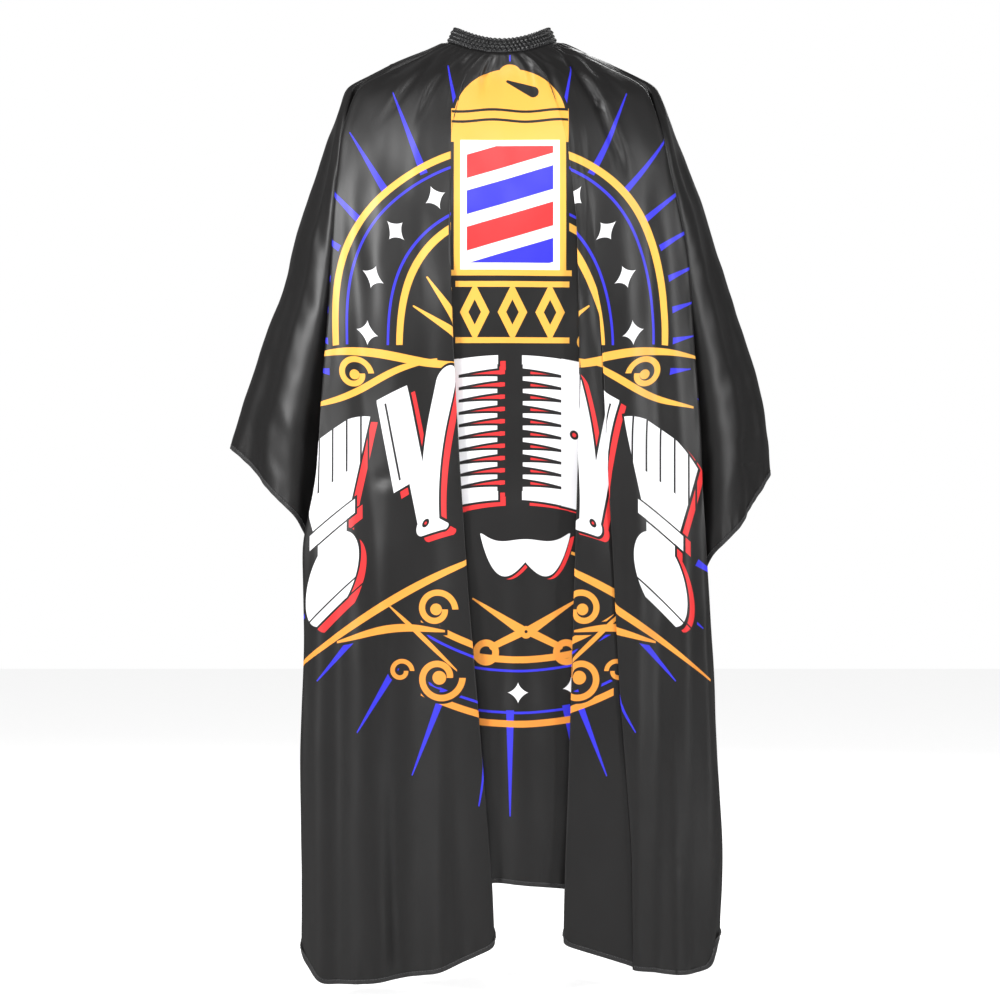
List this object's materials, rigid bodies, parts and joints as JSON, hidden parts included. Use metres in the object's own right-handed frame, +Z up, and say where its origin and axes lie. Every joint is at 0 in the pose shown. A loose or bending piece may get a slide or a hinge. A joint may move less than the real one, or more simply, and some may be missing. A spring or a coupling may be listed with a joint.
{
  "type": "barber cape",
  "caption": "Printed barber cape gathered into an elastic neckband, open down the back and closed behind the neck by a snap tab; it drapes over a seated or standing client.",
  "frame": {"origin": "centre of the neck opening, on the axis of the neck and half-way up the neckband's rise", "axes": "+Z up along the neck, the printed front faces -Y, +X to the viewer's right when facing the front"},
  "size_m": [0.691, 0.2498, 1.2117],
  "materials": {
    "printed_polyester": "fine satin polyester with a printed ornament on the front",
    "binding_tape": "matte woven tape",
    "neckband_fabric": "gathered satin polyester",
    "elastic_webbing": "ribbed elastic",
    "interlining": "stiff non-woven",
    "snap_metal": "nickel plated",
    "spring_wire": "drawn wire",
    "label_ribbon": "blank satin ribbon"
  },
  "bodies": {
    "cape": {"cape_cloth": "printed_polyester", "hem_binding": "binding_tape", "slit_binding_left": "binding_tape", "slit_binding_right": "binding_tape", "neckband_outer": "neckband_fabric", "neckband_inner": "neckband_fabric", "neck_elastic": "elastic_webbing", "tab_anchor": "neckband_fabric", "stud_strap_outer": "neckband_fabric", "stud_strap_interlining": "interlining", "stud_strap_lining": "neckband_fabric", "snap_studs": "snap_metal", "snap_eyelets": "snap_metal", "care_label": "label_ribbon"},
    "closure_tab": {"tab_outer": "neckband_fabric", "tab_interlining": "interlining", "tab_lining": "neckband_fabric", "snap_cap": "snap_metal", "snap_socket": "snap_metal", "snap_spring": "spring_wire"}
  },
  "joints": [
    {"name": "tab_hinge", "type": "hinge", "parent": "cape", "child": "closure_tab", "pos_m": [0.01856, 0.0683, -0.0106], "axis": [0, 0, -1], "range_deg": [0, 95]}
  ]
}
